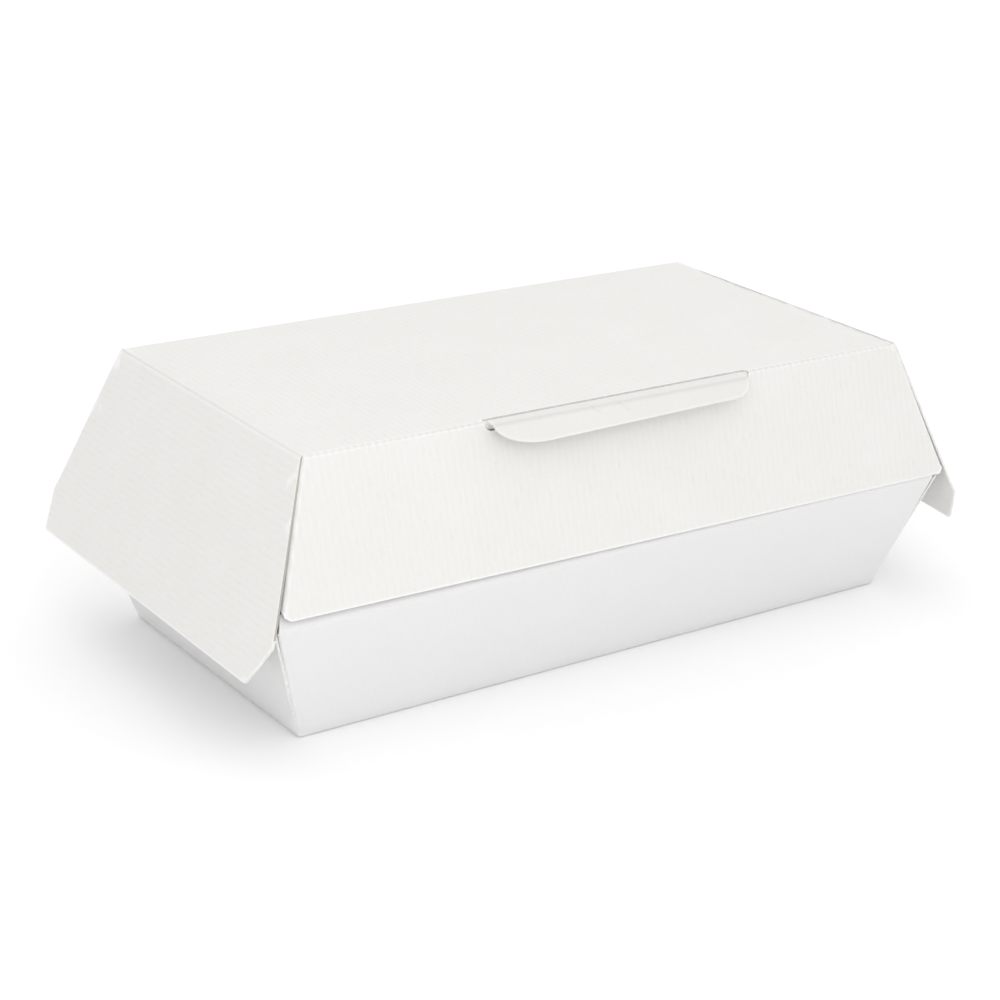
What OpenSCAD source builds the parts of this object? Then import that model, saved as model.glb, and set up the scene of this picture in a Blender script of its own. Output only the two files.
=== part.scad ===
// Takeaway box folded from one sheet of fine-flute white card, lid closed.
// Every panel is laid on the middle of the card's thickness and given
// half a thickness to each side; a rounded bead closes each crease.
// The front is -Y, the long side runs along X, and the foot stands on z = 0.

/* [Card] */
// Thickness of the fluted card
card_t = 1; // [0.8:0.1:1.2]
// Width of the glue tabs folded in behind the end walls
tab_w = 20; // [14:1:26]
// Length that a glue tab stays short of the creases it runs between
tab_relief = 1.2; // [0.6:0.2:3]
// Amount that a glue tab's free edge is shortened at each end
tab_taper = 5; // [2:1:8]

/* [Tray] */
// Length of the foot, crease to crease
foot_l = 221; // [190:1:230]
// Depth of the foot, crease to crease
foot_w = 111; // [90:1:120]
// Length of the rim, crease to crease
rim_l = 243; // [236:1:243]
// Depth of the rim, crease to crease
rim_w = 143; // [140:0.5:144]
// Height of the rim crease above the table
rim_h = 41; // [37:1:43]
// Sideways lean of the rim, as the box came out of gluing
rim_lean = -2.5; // [-2.5:0.5:2.5]
// Gap between a glue tab and the tray's end wall at the rim
end_wall_gap = 0.5; // [0:0.1:0.5]

/* [Lid] */
// Height of the closed box, outside
box_h = 89.4; // [86:0.2:96]
// Length of the top panel, crease to crease
top_l = 218; // [200:1:222]
// Depth of the top panel, crease to crease
top_w = 124; // [110:1:126]
// Length of the front wall's lower edge
lid_front_l = 247.6; // [238:0.2:248]
// Distance of the front wall's lower edge from the middle of the box
lid_front_y = 73.3; // [72.4:0.1:75]
// Height of the front wall's lower edge above the table
lid_front_z = 45.6; // [44.6:0.2:50]
// Length of the back wall at the hinge crease
lid_back_l = 249; // [240:1:250]
// Size of the cut corners of the front wall
lid_corner = 2; // [1:0.2:4]

/* [End panels] */
// Half length of the lid across the widest corners of its end panels
end_x = 128; // [128:0.2:134]
// Height of the widest corners above the table
end_z = 38; // [34:1:40]
// Height of the free lower edge above the table
end_low_z = 25.8; // [20:0.2:30]
// Distance of the front widest corner from the middle of the box
end_front_y = 74.8; // [74:0.2:80]
// Distance of the back widest corner from the middle of the box
end_back_y = 84.5; // [74:0.5:86]
// Amount that the front lower corner is cut back from the widest one
end_cut_front = 7.5; // [4:0.5:14]
// Amount that the back lower corner is cut back from the widest one
end_cut_back = 2.5; // [2:0.5:14]
// Radius of the loose corners of the lid's walls
loose_r = 1; // [0.4:0.2:1.4]

/* [Hinge] */
// Gap left between the tray and the lid along the hinge crease
hinge_gap = 0.3; // [0.3:0.1:0.8]

/* [Lock] */
// Gap between the lock flap and the inside of the lid's front wall
flap_gap = 0.5; // [0.4:0.1:1.5]
// Gap between the lock flap's ends and the lid's glue tabs
flap_side_gap = 2; // [1.6:0.2:6]
// Depth of the lock flap's shoulders below the top panel's upper face
flap_drop = 5.9; // [5.4:0.5:11]
// Radius of the lock flap's upper corners
flap_r = 12; // [6:1:18]
// Length of the slot in the lid's front crease
slot_l = 99; // [80:1:120]
// Depth of the slot below the crease, along the wall
slot_d = 3.4; // [3.2:0.1:5]
// Amount that the slot's ends are longer in the top panel than in the front wall
slot_relief = 0.4; // [0.2:0.1:1]
// Radius of the slot's lower corners
slot_r = 2.4; // [1:0.2:3]
// Gap between the tongue and the slot, at each end
tongue_end_gap = 2.6; // [1:0.2:6]
// Gap between the tongue and the cut edge of the top panel
tongue_gap = 0.8; // [0.3:0.1:1.2]
// Depth of the tongue's crest below the top panel's upper face
tongue_sink = 0.7; // [0.2:0.1:1]
// Length of the tongue's level stretch as it leaves the slot
tongue_out = 1.8; // [0.6:0.1:3]
// Length of the tongue's hanging stretch
tongue_drop = 8.2; // [6:0.2:14]
// Angle that the hanging stretch keeps from the vertical
tongue_lean = 38; // [25:1:60]
// Radius of the tongue's left free corner
tongue_left_r = 15; // [4:0.5:18]
// Radius of the tongue's right free corner
tongue_right_r = 7; // [4:0.5:18]
// Inner radius of the tongue's two bends
tongue_bend_r = 0.5; // [0.3:0.1:1]

/* [Hidden] */
white = [0.95, 0.95, 0.94];
half_t = card_t / 2;

// A crease's bead is a little thinner than the card and runs a little past its ends
bead_r = 0.96 * half_t;
bead_over = 0.2;
bead_faces = 12;
corner_steps = 5;
bend_steps = 8;

// Heights of the two level panels at the middle of the card
foot_z = half_t;
top_z = box_h - half_t;

// Each back wall stops short of the hinge crease so that the fold can close
tray_back_lean = atan((rim_w - foot_w) / 2 / (rim_h - foot_z));
lid_back_lean = atan((rim_w - top_w) / 2 / (top_z - rim_h));
hinge_setback = half_t * tan((tray_back_lean + lid_back_lean) / 2) + hinge_gap;

function mix(a, b, k) = a + (b - a) * k;
function unit(v) = v / norm(v);

// Corners of the tray, with sx and sy as -1 or 1 and k from foot to rim
function foot_corner(sx, sy) = [sx * foot_l / 2, sy * foot_w / 2, foot_z];
function rim_corner(sx, sy) = [sx * rim_l / 2 + rim_lean, sy * rim_w / 2, rim_h];
function tray_corner(sx, sy, k) = mix(foot_corner(sx, sy), rim_corner(sx, sy), k);

// The tray's end walls lie outside the glue tabs
function end_wall_top(sx, sy) = rim_corner(sx, sy) + [sx * (card_t + end_wall_gap), 0, 0];

// Corners of the lid, with k from the top panel down to the free edge
function top_corner(sx, sy) = [sx * top_l / 2, sy * top_w / 2, top_z];
function lid_low_corner(sx, sy) =
    sy < 0
    ? [sx * lid_front_l / 2, -lid_front_y, lid_front_z]
    : [sx * lid_back_l / 2, rim_w / 2, rim_h];
function lid_corner_at(sx, sy, k) = mix(top_corner(sx, sy), lid_low_corner(sx, sy), k);

// The lid's end panels are planes that run along Y
end_slope = (end_x - top_l / 2) / (top_z - end_z);
function end_panel_x(z) = top_l / 2 + (top_z - z) * end_slope;
function end_panel_point(sx, y, z) = [sx * end_panel_x(z), y, z];

// The lid's front wall and the lock flap behind it, seen from the side
front_slope = (lid_front_y - top_w / 2) / (top_z - lid_front_z);
front_lean = atan(front_slope);
flap_top_z = box_h - flap_drop;
function front_wall_y(z) = -(top_w / 2 + (top_z - z) * front_slope);
flap_top_y = front_wall_y(flap_top_z) + (card_t + flap_gap) / cos(front_lean);
flap_slope = (rim_w / 2 + flap_top_y) / (flap_top_z - rim_h);
flap_lean = atan(flap_slope);

// The lock flap is widest at the rim and clears the lid's glue tabs above it
flap_neck_z = lid_front_z - half_t;
function flap_half_l(z) =
    mix(top_l, lid_front_l, (top_z - z) / (top_z - lid_front_z)) / 2 - card_t - flap_side_gap;
function flap_point(x, z) = [x, -rim_w / 2 + (z - rim_h) * flap_slope, z];

// The tongue's path from the lock flap up, out over the slot's lip and down
tongue_w = slot_l - 2 * tongue_end_gap;
bend_r = tongue_bend_r + half_t;
level_z = box_h - tongue_sink - half_t;
rise = (level_z - flap_top_z - bend_r * (1 + sin(flap_lean))) / cos(flap_lean);
bend_y = flap_top_y + rise * sin(flap_lean) - bend_r * cos(flap_lean);
tip_y = bend_y - tongue_out - bend_r * cos(tongue_lean) - tongue_drop * sin(tongue_lean);
tip_z = level_z - bend_r * (1 - sin(tongue_lean)) - tongue_drop * cos(tongue_lean);

root = [flap_top_y, flap_top_z];

// The slot reaches back past the crease, just behind the tongue's bend
slot_back_y = bend_y + bend_r + half_t + tongue_gap;

// A flat panel through corners that lie in one plane, with rounding radii r
module panel(corners, r = []) {
    origin = corners[0];
    along = unit(corners[1] - origin);
    face = unit(cross(along, corners[2] - origin));
    across = cross(face, along);
    outline = [for (c = corners) [(c - origin) * along, (c - origin) * across]];
    multmatrix([
        [along.x, across.x, face.x, origin.x],
        [along.y, across.y, face.y, origin.y],
        [along.z, across.z, face.z, origin.z],
        [0, 0, 0, 1]
    ])
    translate([0, 0, -half_t])
    linear_extrude(card_t)
    polygon(len(r) > 0 ? rounded(outline, r) : outline);
}

// The outline p with an arc of radius r[i] in place of corner i
function rounded(p, r) = [
    for (i = [0:len(p) - 1])
    let (
        back = unit(p[(i + len(p) - 1) % len(p)] - p[i]),
        ahead = unit(p[(i + 1) % len(p)] - p[i]),
        half = acos(back * ahead) / 2,
        centre = p[i] + unit(back + ahead) * r[i] / sin(half),
        from = p[i] + back * r[i] / tan(half) - centre,
        to = p[i] + ahead * r[i] / tan(half) - centre,
        sweep = 180 - 2 * half,
        steps = r[i] > 0 ? corner_steps : 0
    )
    for (s = [0:steps])
    steps == 0
    ? p[i]
    : centre + (from * sin(sweep * (1 - s / steps)) + to * sin(sweep * s / steps)) / sin(sweep)
];

// The rounded bead of a crease from a to b
module crease(a, b) {
    run = b - a;
    translate(a)
    rotate([0, acos(run.z / norm(run)), atan2(run.y, run.x)])
    translate([0, 0, -bead_over])
    cylinder(h = norm(run) + 2 * bead_over, r = bead_r, $fn = bead_faces);
}

// A glue tab that turns inward from the corner line between a and b
module glue_tab(a, b, inward) {
    line = unit(b - a);
    root_a = a + line * tab_relief;
    root_b = b - line * tab_relief;
    taper = line * tab_taper;
    panel([root_a, root_b, root_b - taper + inward * tab_w, root_a + taper + inward * tab_w]);
    crease(root_a, root_b);
}

module base() {
    color(white) {
        tray_foot();
        for (sy = [-1, 1]) tray_long_wall(sy);
        for (sx = [-1, 1]) tray_end_wall(sx);
        lock_flap();
    }
}

module tray_foot() {
    panel([foot_corner(-1, -1), foot_corner(1, -1), foot_corner(1, 1), foot_corner(-1, 1)]);
    for (s = [-1, 1]) {
        crease(foot_corner(-1, s), foot_corner(1, s));
        crease(foot_corner(s, -1), foot_corner(s, 1));
    }
}

// Front or back wall of the tray with its two glue tabs
module tray_long_wall(sy) {
    wall_h = norm(rim_corner(0, sy) - foot_corner(0, sy) - [rim_lean, 0, 0]);
    top_k = sy > 0 ? 1 - hinge_setback / wall_h : 1;
    panel([
        tray_corner(-1, sy, 0),
        tray_corner(1, sy, 0),
        tray_corner(1, sy, top_k),
        tray_corner(-1, sy, top_k)
    ]);
    for (sx = [-1, 1])
        glue_tab(tray_corner(sx, sy, 0), tray_corner(sx, sy, top_k), [0, -sy, 0]);
}

module tray_end_wall(sx) {
    panel([foot_corner(sx, -1), foot_corner(sx, 1), end_wall_top(sx, 1), end_wall_top(sx, -1)]);
}

// Flap folded up from the tray's front rim, inside the lid's front wall
module lock_flap() {
    neck = flap_half_l(flap_neck_z);
    top = flap_half_l(flap_top_z);
    panel(
        [
            rim_corner(-1, -1),
            rim_corner(1, -1),
            flap_point(neck, flap_neck_z),
            flap_point(top, flap_top_z),
            flap_point(-top, flap_top_z),
            flap_point(-neck, flap_neck_z)
        ],
        [0, 0, 0, flap_r, flap_r, 0]
    );
    crease(rim_corner(-1, -1), rim_corner(1, -1));
}

module lid() {
    color(white) {
        difference() {
            union() {
                lid_top();
                lid_front_wall();
            }
            lock_slot();
        }
        for (sy = [-1, 1]) lid_glue_tabs(sy);
        lid_back_wall();
        for (sx = [-1, 1]) lid_end_panel(sx);
    }
}

module lid_top() {
    panel([top_corner(-1, -1), top_corner(1, -1), top_corner(1, 1), top_corner(-1, 1)]);
    for (s = [-1, 1]) {
        crease(top_corner(-1, s), top_corner(1, s));
        crease(top_corner(s, -1), top_corner(s, 1));
    }
}

module lid_front_wall() {
    cut_k = 1 - lid_corner / norm(lid_low_corner(1, -1) - top_corner(1, -1));
    panel(
        [
            top_corner(-1, -1),
            top_corner(1, -1),
            lid_corner_at(1, -1, cut_k),
            lid_low_corner(1, -1) - [lid_corner, 0, 0],
            lid_low_corner(-1, -1) + [lid_corner, 0, 0],
            lid_corner_at(-1, -1, cut_k)
        ],
        [0, 0, loose_r, loose_r, loose_r, loose_r]
    );
}

module lid_back_wall() {
    wall_h = norm(lid_low_corner(0, 1) - top_corner(0, 1));
    low_k = 1 - hinge_setback / wall_h;
    panel([
        top_corner(-1, 1),
        top_corner(1, 1),
        lid_corner_at(1, 1, low_k),
        lid_corner_at(-1, 1, low_k)
    ]);
}

// The two glue tabs of the lid's front or back wall
module lid_glue_tabs(sy) {
    low_k = 1 - lid_corner / norm(lid_low_corner(1, sy) - top_corner(1, sy));
    for (sx = [-1, 1])
        glue_tab(top_corner(sx, sy), lid_corner_at(sx, sy, low_k), [0, -sy, 0]);
}

// End panel that hangs past the tray's rim, with cut lower corners
module lid_end_panel(sx) {
    panel(
        [
            end_panel_point(sx, -top_w / 2, top_z),
            end_panel_point(sx, top_w / 2, top_z),
            end_panel_point(sx, end_back_y, end_z),
            end_panel_point(sx, end_back_y - end_cut_back, end_low_z),
            end_panel_point(sx, -end_front_y + end_cut_front, end_low_z),
            end_panel_point(sx, -end_front_y, end_z)
        ],
        [0, 0, loose_r, loose_r, loose_r, loose_r]
    );
}

// Cutter for the slot along the lid's front crease
module lock_slot() {
    top_cut_w = top_w / 2 + card_t + slot_back_y;
    top_cut_l = slot_l + 2 * slot_relief;
    translate([-top_cut_l / 2, slot_back_y - top_cut_w, top_z - card_t])
    cube([top_cut_l, top_cut_w, 2 * card_t]);
    translate([0, -top_w / 2, top_z])
    rotate([90 - front_lean, 0, 0])
    linear_extrude(2 * card_t, center = true)
    slot_outline();
}

// The slot on the front wall, from just above the crease down to its round corners
module slot_outline() {
    translate([-slot_l / 2, slot_r - slot_d]) square([slot_l, slot_d - slot_r + card_t]);
    translate([-slot_l / 2 + slot_r, -slot_d]) square([slot_l - 2 * slot_r, slot_d]);
    for (s = [-1, 1])
        translate([s * (slot_l / 2 - slot_r), slot_r - slot_d]) circle(slot_r, $fn = 32);
}

// The tongue grows out of the lock flap's upper edge
module lock_tongue() {
    color(white)
    difference() {
        rotate([90, 0, 90])
        linear_extrude(tongue_w, center = true)
        polygon(concat(tongue_side(half_t), reverse(tongue_side(-half_t))));
        tongue_corner_cut(-1, tongue_left_r);
        tongue_corner_cut(1, tongue_right_r);
    }
}

// One face of the tongue from root to tip as [y, z] points, out from the card's middle
function tongue_side(out) = [
    root + out * face_dir(-flap_lean),
    each bend_face(bend_y, -flap_lean, 90, bend_r + out),
    each bend_face(bend_y - tongue_out, 90, 180 - tongue_lean, bend_r + out),
    [tip_y, tip_z] + out * face_dir(180 - tongue_lean)
];

// The points of a bend about the line at y, where the card faces from one angle to the other
function bend_face(y, from, to, r) = [
    for (s = [0:bend_steps])
    [y, level_z - bend_r] + r * face_dir(mix(from, to, s / bend_steps))
];
function face_dir(angle) = [cos(angle), sin(angle)];
function reverse(list) = [for (i = [len(list) - 1:-1:0]) list[i]];

// Cutter that rounds the free corner of the tongue on the side sx
module tongue_corner_cut(sx, r) {
    translate([0, tip_y, tip_z])
    rotate([90 - tongue_lean, 0, 0])
    linear_extrude(4 * card_t, center = true)
    mirror([sx < 0 ? 1 : 0, 0])
    translate([tongue_w / 2 - r, r])
    difference() {
        translate([0, -r - card_t]) square(r + card_t);
        circle(r, $fn = 64);
    }
}

base();
lid();
lock_tongue();
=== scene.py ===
import bpy
import bmesh
import math
import numpy as np
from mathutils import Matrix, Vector


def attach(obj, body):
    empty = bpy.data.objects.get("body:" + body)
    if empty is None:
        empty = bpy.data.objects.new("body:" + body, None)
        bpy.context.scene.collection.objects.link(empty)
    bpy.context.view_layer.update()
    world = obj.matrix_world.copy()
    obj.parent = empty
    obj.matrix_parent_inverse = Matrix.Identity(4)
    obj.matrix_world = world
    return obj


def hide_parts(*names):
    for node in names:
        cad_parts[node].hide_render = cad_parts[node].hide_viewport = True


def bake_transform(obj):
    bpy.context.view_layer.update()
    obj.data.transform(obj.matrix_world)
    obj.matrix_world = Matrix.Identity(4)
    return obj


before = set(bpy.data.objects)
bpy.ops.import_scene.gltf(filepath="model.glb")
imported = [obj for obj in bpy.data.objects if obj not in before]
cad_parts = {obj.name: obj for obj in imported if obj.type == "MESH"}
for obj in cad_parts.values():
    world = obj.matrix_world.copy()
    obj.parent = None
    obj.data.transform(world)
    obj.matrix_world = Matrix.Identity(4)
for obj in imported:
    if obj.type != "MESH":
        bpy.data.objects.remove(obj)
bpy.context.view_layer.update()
print("frame loaded")

mm = 0.001
touch = 0.02 * mm  # points this near each other are the same corner
cornerSides = ((-1, -1), (1, -1), (1, 1), (-1, 1))  # -1 is left or front, 1 is right or back


# Selecting and moving, as by hand

def deselectAll():
    if bpy.context.object and bpy.context.object.mode != "OBJECT":
        bpy.ops.object.mode_set(mode="OBJECT")
    bpy.ops.object.select_all(action="DESELECT")


def activate(sheet):
    deselectAll()
    sheet.select_set(True)
    bpy.context.view_layer.objects.active = sheet


# A place given in millimetres
def point(x, y, z):
    return Vector((x, y, z)) * mm


def blendPoints(a, b, share):
    return a + (b - a) * share


def pickPoints(sheet, points):
    bpy.ops.mesh.select_all(action="DESELECT")
    mesh = bmesh.from_edit_mesh(sheet.data)
    for vert in mesh.verts:
        vert.select = any((vert.co - place).length < touch for place in points)
    mesh.select_flush(True)
    bmesh.update_edit_mesh(sheet.data)


def pickFaces(sheet, wanted):
    bpy.ops.mesh.select_all(action="DESELECT")
    mesh = bmesh.from_edit_mesh(sheet.data)
    for face in mesh.faces:
        if wanted(face):
            face.select = True
    mesh.select_flush(True)
    bmesh.update_edit_mesh(sheet.data)
    return sum(face.select for face in mesh.faces)


def pickEdges(sheet, wanted):
    bpy.ops.mesh.select_all(action="DESELECT")
    mesh = bmesh.from_edit_mesh(sheet.data)
    for edge in mesh.edges:
        if wanted(edge):
            edge.select = True
    mesh.select_flush(True)
    bmesh.update_edit_mesh(sheet.data)


def movePoint(sheet, start, end):
    pickPoints(sheet, [start])
    bpy.ops.transform.translate(value=end - start)


# A sheet of card is folded out panel by panel. Its UV map holds each point's place on the flat sheet.

def startSheet(name, corners):
    deselectAll()
    bpy.ops.mesh.primitive_plane_add(size=2)
    sheet = bpy.context.object
    sheet.name = name
    sheet.data.name = name
    bpy.ops.object.mode_set(mode="EDIT")
    for (x, y), end in zip(cornerSides, corners):
        movePoint(sheet, Vector((x, y, 0)), end)
    mesh = bmesh.from_edit_mesh(sheet.data)
    flat = mesh.loops.layers.uv.verify()
    for loop in mesh.faces[:][0].loops:
        loop[flat].uv = loop.vert.co.xy
    bmesh.update_edit_mesh(sheet.data)
    return sheet


def flatPlace(mesh, place, face=None):
    flat = mesh.loops.layers.uv.verify()
    for vert in mesh.verts:
        if (vert.co - place).length < touch:
            for loop in vert.link_loops:
                if face is None or loop.face == face:
                    return loop[flat].uv.copy()
    return None


# Adds a panel from the edge rootA to rootB out to the edge endA to endB, folded and flat
def foldOut(sheet, rootA, rootB, endA, endB):
    pickPoints(sheet, [rootA, rootB])
    mesh = bmesh.from_edit_mesh(sheet.data)
    root = [edge for edge in mesh.edges if edge.select][0]
    parent = root.link_faces[0]
    flatA = flatPlace(mesh, rootA, parent)
    flatB = flatPlace(mesh, rootB, parent)
    flat = mesh.loops.layers.uv.verify()
    middle = sum((loop[flat].uv for loop in parent.loops), Vector((0, 0))) / len(parent.loops)
    lift = point(0, 0, card["lift"])
    bpy.ops.mesh.extrude_edges_move(TRANSFORM_OT_translate={"value": lift})
    movePoint(sheet, rootA + lift, endA)
    movePoint(sheet, rootB + lift, endB)
    along3 = (rootB - rootA).normalized()
    along2 = (flatB - flatA).normalized()
    away2 = Vector((-along2.y, along2.x))
    if (middle - flatA).dot(away2) > 0:
        away2 = -away2
    mesh = bmesh.from_edit_mesh(sheet.data)
    flat = mesh.loops.layers.uv.verify()
    corners = {0: (rootA, flatA), 1: (rootB, flatB)}
    for slot, end in ((2, endA), (3, endB)):
        run = (end - rootA).dot(along3)
        rise = (end - rootA - along3 * run).length
        corners[slot] = (end, flatA + along2 * run + away2 * rise)
    for face in mesh.faces:
        places = [vert.co for vert in face.verts]
        isNew = all(any((p - c[0]).length < touch for p in places) for c in corners.values())
        if len(places) == 4 and isNew:
            for loop in face.loops:
                for place, uv in corners.values():
                    if (loop.vert.co - place).length < touch:
                        loop[flat].uv = uv
    bmesh.update_edit_mesh(sheet.data)


def cutAcross(sheet, place, normal, wanted=None):
    if wanted is None:
        bpy.ops.mesh.select_all(action="SELECT")
    elif not pickFaces(sheet, wanted):
        return
    bpy.ops.mesh.bisect(plane_co=place, plane_no=normal, threshold=touch / 10)


def roundCorner(sheet, place, radius, steps):
    pickPoints(sheet, [place])
    bpy.ops.mesh.bevel(offset=radius * mm, offset_type="OFFSET", affect="VERTICES", segments=steps)


def isCrease(edge):
    return len(edge.link_faces) == 2 and edge.calc_face_angle(0) > math.radians(card["creaseAngle"])


def softenCreases(wanted, sheet, width, steps):
    pickEdges(sheet, wanted)
    bpy.ops.mesh.bevel(offset=width * mm, offset_type="OFFSET", segments=steps,
                       affect="EDGES", loop_slide=True)


# Cuts each panel into cells along the axes that lie in it
def gridCuts(sheet, cell):
    places = [vert.co for vert in bmesh.from_edit_mesh(sheet.data).verts]
    low = [min(place[i] for place in places) for i in range(3)]
    high = [max(place[i] for place in places) for i in range(3)]
    for axis in range(3):
        normal = Vector((0, 0, 0))
        normal[axis] = 1
        count = int((high[axis] - low[axis]) / (cell * mm))
        for i in range(1, count + 1):
            at = low[axis] + (high[axis] - low[axis]) * i / (count + 1)
            cutAcross(sheet, normal * at, normal,
                      lambda face: abs(face.normal[axis]) < card["cellTilt"])


# Lengths are in millimetres and angles in degrees, here and below

card = {
    "thickness": 1.0,
    "pressed": 0.7,  # the thickness left after folding, with the outer face in its place
    "lift": 0.3,  # a new panel's edge is raised by this before its corners are placed
    "creaseAngle": 4.0,  # panels that meet at a smaller angle have no crease between them
    "creaseWidth": 0.5,
    "creaseSteps": 3,
    "rimWidth": 1.0,  # the front rim is folded softer than the other creases
    "rimSteps": 4,
    "cell": 4.0,
    "cellTilt": 0.75,  # a panel that faces more than this along an axis isn't cut across it
    "smoothAngle": 28.0,
    "flutePitch": 2.39,
    "reach": 12.0,  # the creases' painted highlight and painted shade, and wear, are measured up to this far from a crease or a cut edge
}

# The folded sizes at the middle of the card

box = {
    "height": 89.4,
    "foot": (110.5, 55.5),  # half length and half depth
    "rim": (121.5, 71.5, 41.0),  # half length, half depth and height
    "rimLean": -2.5,  # the front rim sits this far to the side
    "rimRise": (1.6, 3.0),  # the front rim's ends, left and right, sit this much higher
    "endWallOut": 1.2,
    "endWallLip": 0.4,
    "tabRelief": 1.0,
    "tabWidth": 20.0,
    "tabTaper": 5.0,
    "top": (109.0, 62.0),  # half length and half depth
    "front": (124.3, 73.3, 45.0),  # the lid's front wall: half length, place and height of its edge
    "frontLift": -0.5,  # its right end sits lower by this, its left end higher
    "backHalf": 124.5,
    "cornerCut": 1.5,
    "cornerInset": (2.4, 1.5),  # left corner, right corner
    "hingeGap": 0.3,
    "flapGap": 0.5,
    "flapSideGap": 2.0,
    "flapDrop": 2.8,  # the flap's edge lies this far under the top of the box
    "flapCorner": 12.0,
    "flapCornerSteps": 6,
    "neck": (-123.3, 119.6, 46.6),  # left x, right x and height where the flap starts to narrow
    "shoulderZ": 49.4,
}
half = card["thickness"] / 2
innerHalf = card["pressed"] - half  # from the middle line to the inner face
footZ = half
topZ = box["height"] - half
trayLean = math.atan((box["rim"][1] - box["foot"][1]) / (box["rim"][2] - footZ))
backLean = math.atan((box["rim"][1] - box["top"][1]) / (topZ - box["rim"][2]))
backShort = half * math.tan((trayLean + backLean) / 2) + box["hingeGap"]
frontSlope = (box["front"][1] - box["top"][1]) / (topZ - box["front"][2])
frontLean = math.atan(frontSlope)
flapTopZ = box["height"] - box["flapDrop"]
flapTopY = (-box["top"][1] - (topZ - flapTopZ) * frontSlope
            + (card["thickness"] + box["flapGap"]) / math.cos(frontLean))
flapSlope = (box["rim"][1] + flapTopY) / (flapTopZ - box["rim"][2])
flapLean = math.atan(flapSlope)


# The finished box is a little askew: each shift is a whole one, then shares of x, y and x times y

skew = {
    "size": (268.0, 162.0, topZ),  # the cage around the sheet
    "middleY": 5.0,
    "topX": (0.15, 0.00367, 0.01048, 0.0000592),
    "topY": (0.85, -0.01606, 0.00887, -0.0000962),
    "footX": (-0.28, 0.0118, -0.01765, 0.0),
    "footY": (0.45, 0.01765, 0.0, 0.0),
}


def shiftAt(shares, x, y):
    return shares[0] + shares[1] * x + shares[2] * y + shares[3] * x * y


# The levels are the cage's layers, 0 at the foot and 2 at the top, with the shifts that each takes
def skewSheet(sheet, levels):
    deselectAll()
    bpy.ops.object.add(type="LATTICE", location=point(0, skew["middleY"], skew["size"][2] / 2))
    cage = bpy.context.object
    cage.scale = point(*skew["size"])
    cage.data.points_u = 2
    cage.data.points_v = 2
    cage.data.points_w = 3
    for axis in ("u", "v", "w"):
        setattr(cage.data, "interpolation_type_" + axis, "KEY_LINEAR")
    for index, corner in enumerate(cage.data.points):
        if index // 4 in levels:
            alongX, alongY = levels[index // 4]
            x = corner.co.x * skew["size"][0]
            y = corner.co.y * skew["size"][1] + skew["middleY"]
            shift = Vector((shiftAt(skew[alongX], x, y) / skew["size"][0],
                            shiftAt(skew[alongY], x, y) / skew["size"][1], 0))
            corner.co_deform = corner.co + shift
    activate(sheet)
    bpy.context.view_layer.update()
    askew = sheet.modifiers.new("askew", "LATTICE")
    askew.object = cage
    bpy.ops.object.modifier_apply(modifier=askew.name)
    deselectAll()
    cage.select_set(True)
    bpy.ops.object.delete()


# Distances on the flat sheet, in millimetres, for the painted highlight, painted shade and crushed
# card along creases, and wear along cut edges

def flatLines(sheet, wanted):
    mesh = bmesh.from_edit_mesh(sheet.data)
    flat = mesh.loops.layers.uv.verify()
    lines = []
    for edge in mesh.edges:
        if wanted(edge):
            loop = edge.link_loops[0]
            lines.append((*loop[flat].uv, *loop.link_loop_next[flat].uv))
    return np.array(lines) / mm


def isCut(edge):
    return len(edge.link_faces) == 1


def storeDistance(sheet, name, lines):
    data = sheet.data
    uv = np.zeros(len(data.loops) * 2)
    data.uv_layers.active.data.foreach_get("uv", uv)
    owner = np.zeros(len(data.loops), dtype=int)
    data.loops.foreach_get("vertex_index", owner)
    places = np.zeros((len(data.vertices), 2))
    places[owner] = uv.reshape(-1, 2) / mm
    nearest = np.full(len(places), card["reach"])
    for ax, ay, bx, by in lines:
        run = np.array([bx - ax, by - ay])
        away = places - [ax, ay]
        share = np.clip(away @ run / max(run @ run, touch), 0, 1)
        nearest = np.minimum(nearest, np.linalg.norm(away - share[:, None] * run, axis=1))
    layer = data.attributes.new(name, "FLOAT", "POINT")
    layer.data.foreach_set("value", nearest)


# Turns the sheet's outer side away from the middle of the box
def faceOut(sheet):
    middle = point(0, 0, box["height"] / 2)
    mesh = bmesh.from_edit_mesh(sheet.data)
    outwards = sum(face.calc_area() * face.normal.dot(face.calc_center_median() - middle)
                   for face in mesh.faces)
    if outwards < 0:
        bpy.ops.mesh.flip_normals()


def giveThickness(sheet, face, creases, cuts, thickness, outer=half):
    activate(sheet)
    bpy.ops.object.mode_set(mode="EDIT")
    bpy.ops.mesh.select_all(action="SELECT")
    bpy.ops.mesh.remove_doubles(threshold=touch / 4)
    bpy.ops.mesh.normals_make_consistent(inside=False)
    faceOut(sheet)
    bpy.ops.object.mode_set(mode="OBJECT")
    sheet.data.materials.append(face)
    sheet.data.materials.append(cutEdge)
    before = len(sheet.data.vertices)
    thick = sheet.modifiers.new("cardThickness", "SOLIDIFY")
    thick.thickness = thickness * mm
    thick.offset = 2 * outer / thickness - 1
    thick.use_even_offset = False
    thick.use_quality_normals = True
    thick.material_offset_rim = 1
    bpy.ops.object.modifier_apply(modifier=thick.name)
    isInner = np.arange(len(sheet.data.vertices)) >= before
    depth = sheet.data.attributes.new("cardDepth", "FLOAT", "POINT")
    depth.data.foreach_set("value", isInner.astype(float))
    storeDistance(sheet, "creaseDistance", creases)
    storeDistance(sheet, "cutDistance", cuts)
    bpy.ops.object.shade_smooth_by_angle(angle=math.radians(card["smoothAngle"]))
    print(sheet.name, "faces", len(sheet.data.polygons))


# Card finish, with its lengths measured on the flat sheet

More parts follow.
